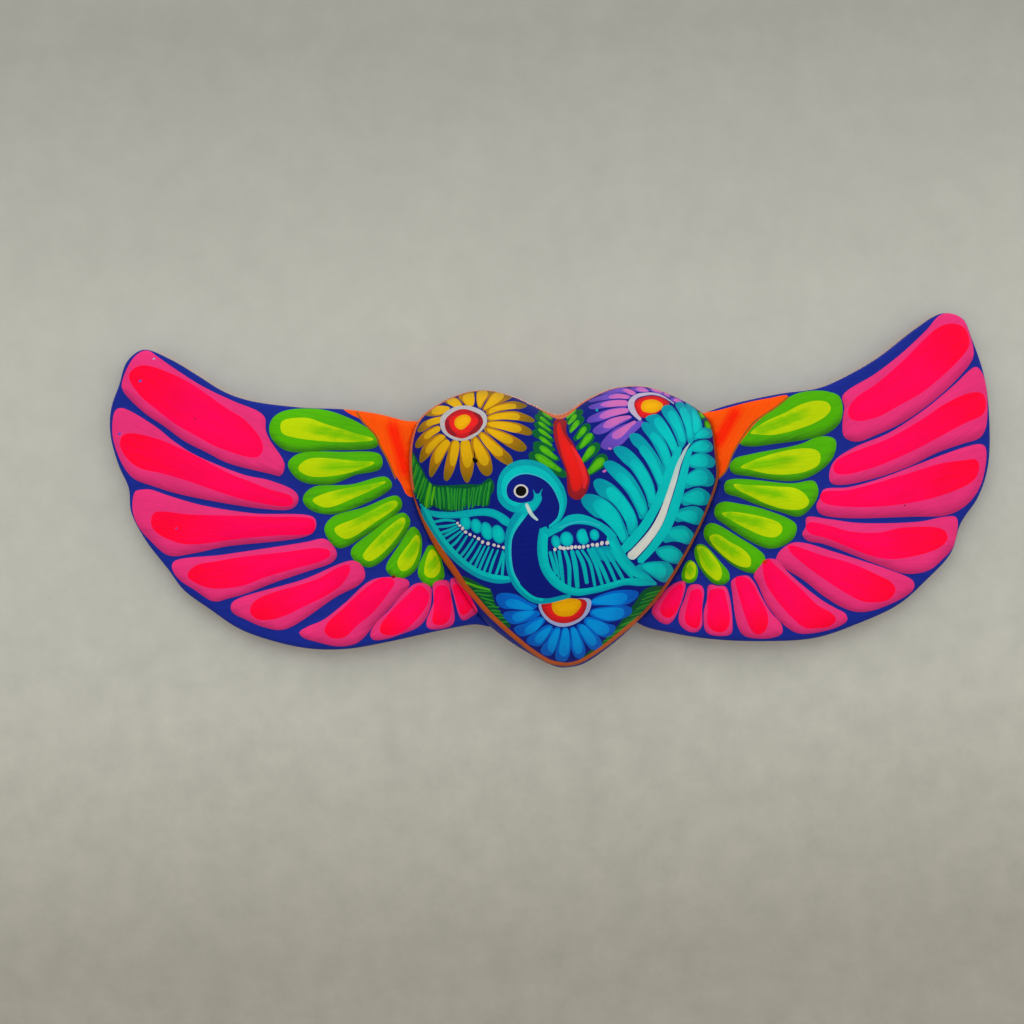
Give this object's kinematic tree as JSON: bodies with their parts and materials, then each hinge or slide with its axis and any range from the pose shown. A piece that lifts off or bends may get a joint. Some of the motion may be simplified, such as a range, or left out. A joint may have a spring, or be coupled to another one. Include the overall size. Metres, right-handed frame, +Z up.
{
  "type": "winged heart wall hanging",
  "caption": "Hollow clay heart between two feathered clay wings, painted, with a swinging wire loop behind it to hang it on a nail in a wall.",
  "frame": {"origin": "the point of the wall plane where the nail carries the wire loop, on the upright axis of the heart, 20 mm below the cleft", "axes": "+X to the right seen from the front, +Y into the wall (the front faces -Y), +Z up"},
  "size_m": [0.3427, 0.04, 0.1312],
  "materials": {
    "heart_paint": "brushed acrylic paint on low-fired clay, satin varnish",
    "wing_paint": "brushed acrylic paint on low-fired clay, satin varnish",
    "bare_clay": "bare low-fired clay, wiped smooth by hand",
    "coil_clay": "bare low-fired clay, pressed by fingers",
    "hanger_steel": "galvanised wire, dull"
  },
  "bodies": {
    "ornament": {"heart_front_shell": "heart_paint", "heart_back_plate": "bare_clay", "left_wing": "wing_paint", "right_wing": "wing_paint", "left_wing_luting_coil": "coil_clay", "right_wing_luting_coil": "coil_clay", "hanger_lug": "bare_clay"},
    "hanger": {"hanger_wire": "hanger_steel"}
  },
  "joints": [
    {"name": "hanger_swing", "type": "hinge", "parent": "ornament", "child": "hanger", "pos_m": [0, -0.0041, -0.02], "axis": [-1, 0, 0], "range_deg": [0, 185]}
  ]
}
